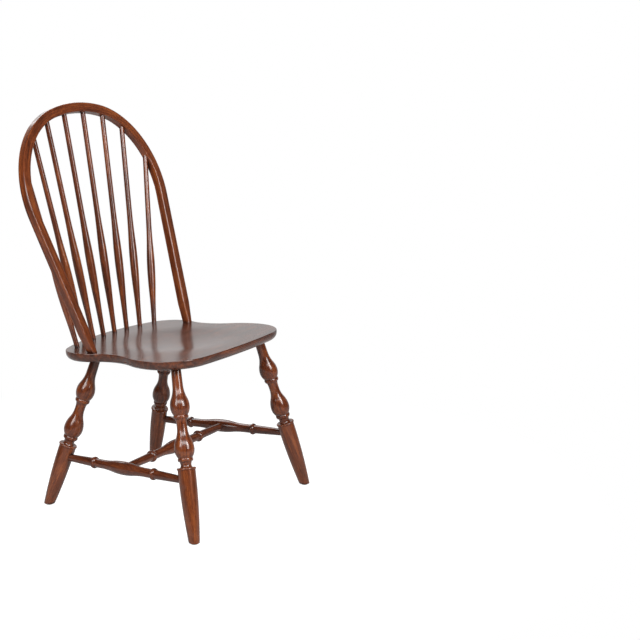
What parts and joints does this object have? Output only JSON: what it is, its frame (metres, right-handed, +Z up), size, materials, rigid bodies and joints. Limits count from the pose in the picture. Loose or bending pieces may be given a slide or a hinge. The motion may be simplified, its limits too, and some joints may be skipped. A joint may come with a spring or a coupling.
{
  "type": "hoop back side chair",
  "caption": "Armless wooden dining chair with a bent hoop back of turned spindles, saddled seat, and splayed turned legs joined by stretchers.",
  "frame": {"origin": "on the floor, under the middle of the chair's outline", "axes": "+Z up, the sitter faces -Y, +X to the sitter's left"},
  "size_m": [0.5858, 0.5988, 1.0588],
  "materials": {
    "stained_wood": "gloss lacquer over chestnut stain",
    "glide_steel": "darkened"
  },
  "bodies": {
    "root": {"seat": "stained_wood", "bow": "stained_wood", "spindle_1": "stained_wood", "spindle_2": "stained_wood", "spindle_3": "stained_wood", "spindle_4": "stained_wood", "spindle_5": "stained_wood", "spindle_6": "stained_wood", "spindle_7": "stained_wood", "spindle_8": "stained_wood", "leg_front_left": "stained_wood", "leg_front_right": "stained_wood", "leg_rear_left": "stained_wood", "leg_rear_right": "stained_wood", "side_stretcher_left": "stained_wood", "side_stretcher_right": "stained_wood", "centre_stretcher": "stained_wood", "glide_front_left": "glide_steel", "glide_front_right": "glide_steel", "glide_rear_left": "glide_steel", "glide_rear_right": "glide_steel"}
  },
  "joints": []
}
